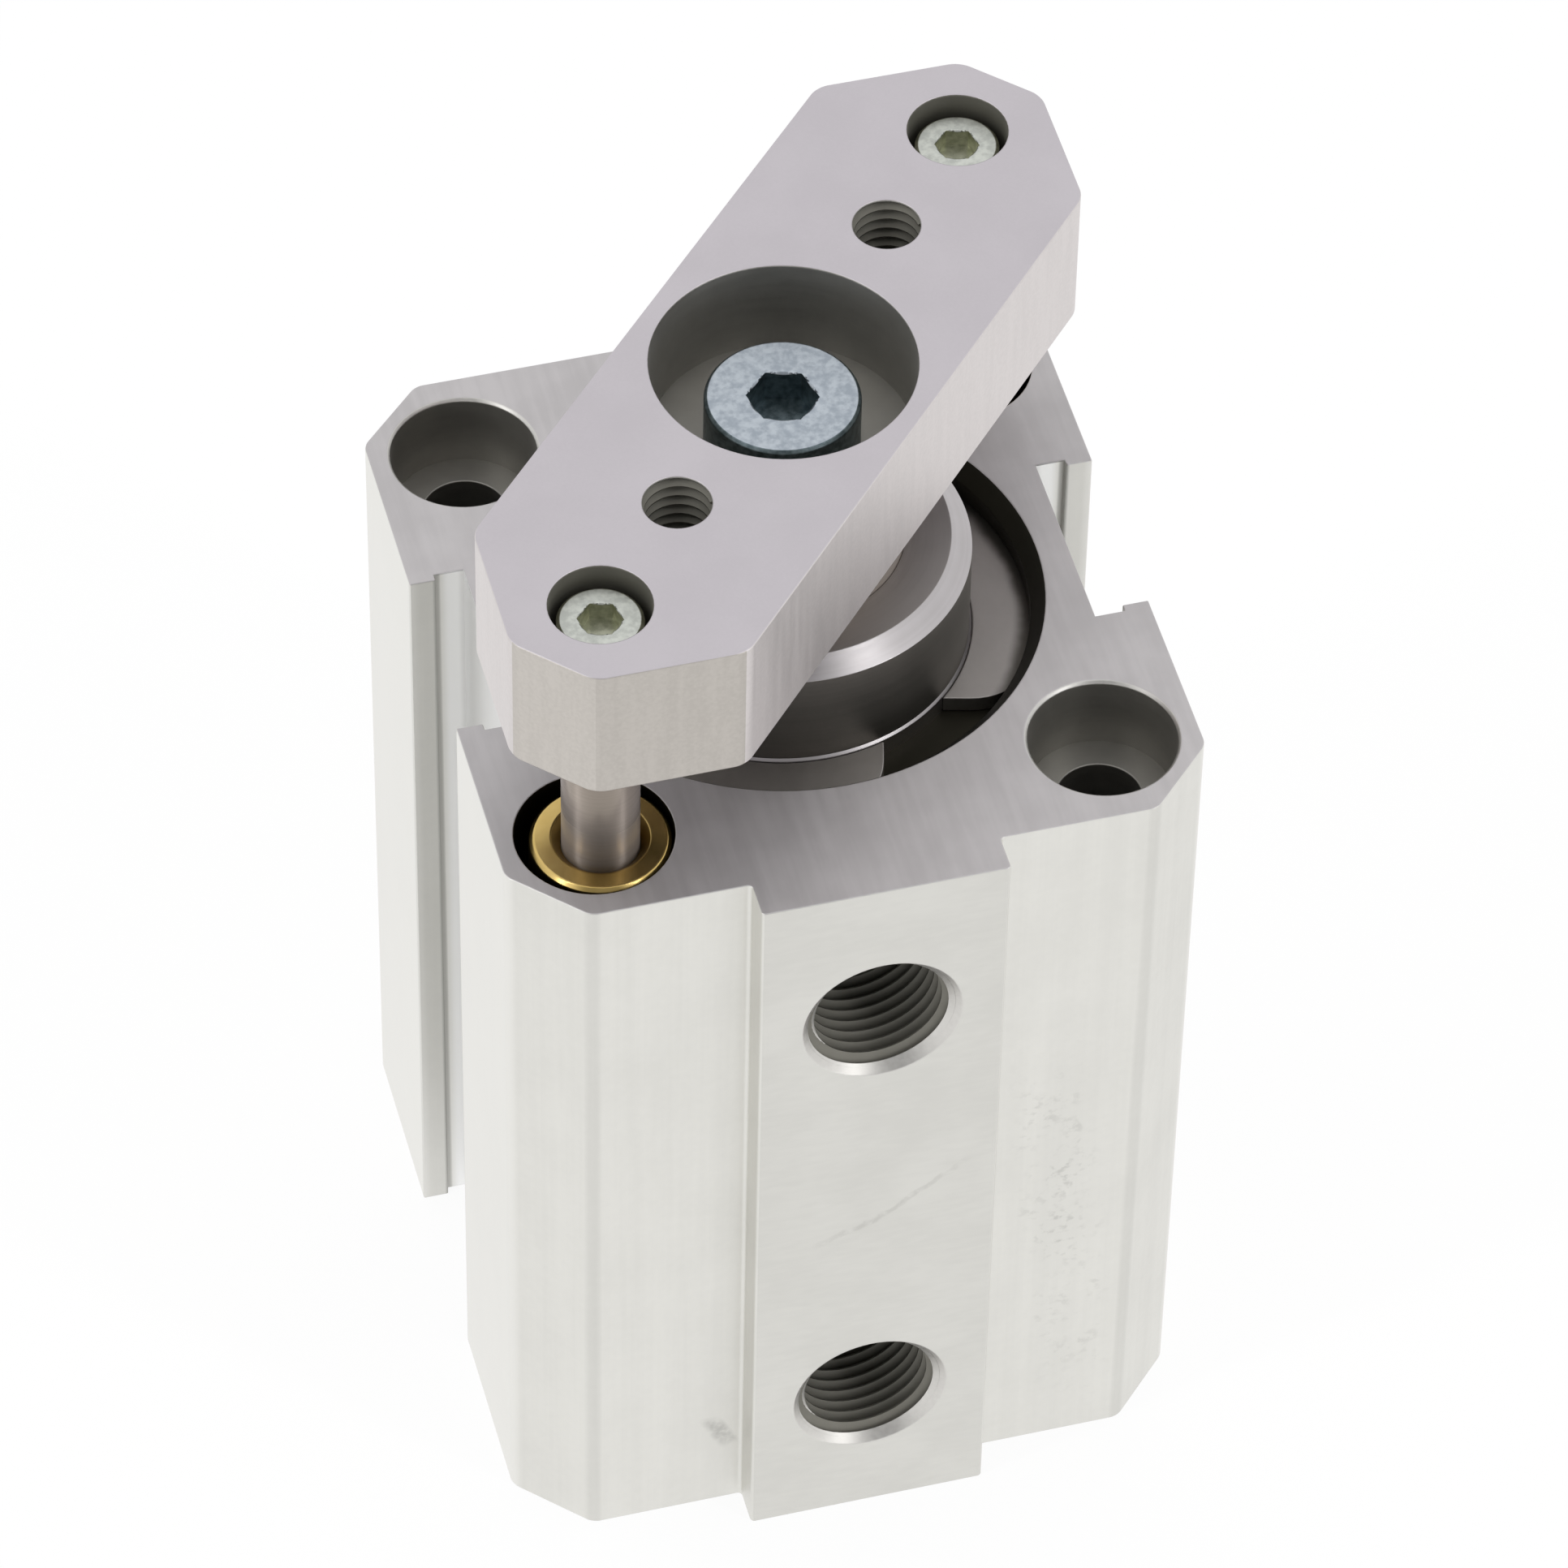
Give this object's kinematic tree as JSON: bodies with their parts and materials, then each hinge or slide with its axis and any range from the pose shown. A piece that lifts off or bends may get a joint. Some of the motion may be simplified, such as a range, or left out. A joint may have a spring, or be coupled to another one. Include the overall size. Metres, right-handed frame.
{
  "type": "short-stroke cylinder",
  "caption": "Compact double-acting short-stroke air cylinder with a near-square extruded body, side switch channels, threaded ports and a guided front plate on a sliding rod.",
  "frame": {"origin": "on the cylinder's axis, at the base face of the body, midway between the two mounting holes", "axes": "+Z along the rod towards the front plate, -Y out of the air ports, +X to the right when facing the ports"},
  "size_m": [0.0458, 0.0504, 0.0834],
  "materials": {
    "body_aluminium": "satin natural anodised extrusion",
    "plate_aluminium": "bead-blasted, fine matt",
    "turned_aluminium": "turned, bright at the chamfers",
    "spring_steel": "plain grey spring steel",
    "brass": "turned brass",
    "bearing_bronze": "sintered bronze",
    "ground_steel": "ground and polished",
    "zinc_steel": "bright zinc plated",
    "bonded_magnet": "dark bonded magnet strip",
    "black_rubber": "smooth nitrile rubber"
  },
  "bodies": {
    "barrel": {"cylinder_body": "body_aluminium", "rod_cover": "turned_aluminium", "rear_cover": "turned_aluminium", "rod_cover_o_ring": "black_rubber", "rear_cover_o_ring": "black_rubber", "rod_bush": "bearing_bronze", "rod_seal": "black_rubber", "front_bumper": "black_rubber", "rear_bumper": "black_rubber", "front_retaining_ring": "spring_steel", "rear_retaining_ring": "spring_steel", "front_guide_bush": "brass", "back_guide_bush": "brass"},
    "ram": {"piston": "turned_aluminium", "piston_seal": "black_rubber", "piston_magnet": "bonded_magnet", "piston_screw": "zinc_steel", "piston_rod": "ground_steel", "front_guide_rod": "ground_steel", "back_guide_rod": "ground_steel", "guide_plate": "plate_aluminium", "plate_screw": "zinc_steel", "guide_rod_screws": "zinc_steel"}
  },
  "joints": [
    {"name": "stroke", "type": "slide", "parent": "barrel", "child": "ram", "axis": [0, 0, 1], "range_m": [0, 0.03]}
  ]
}
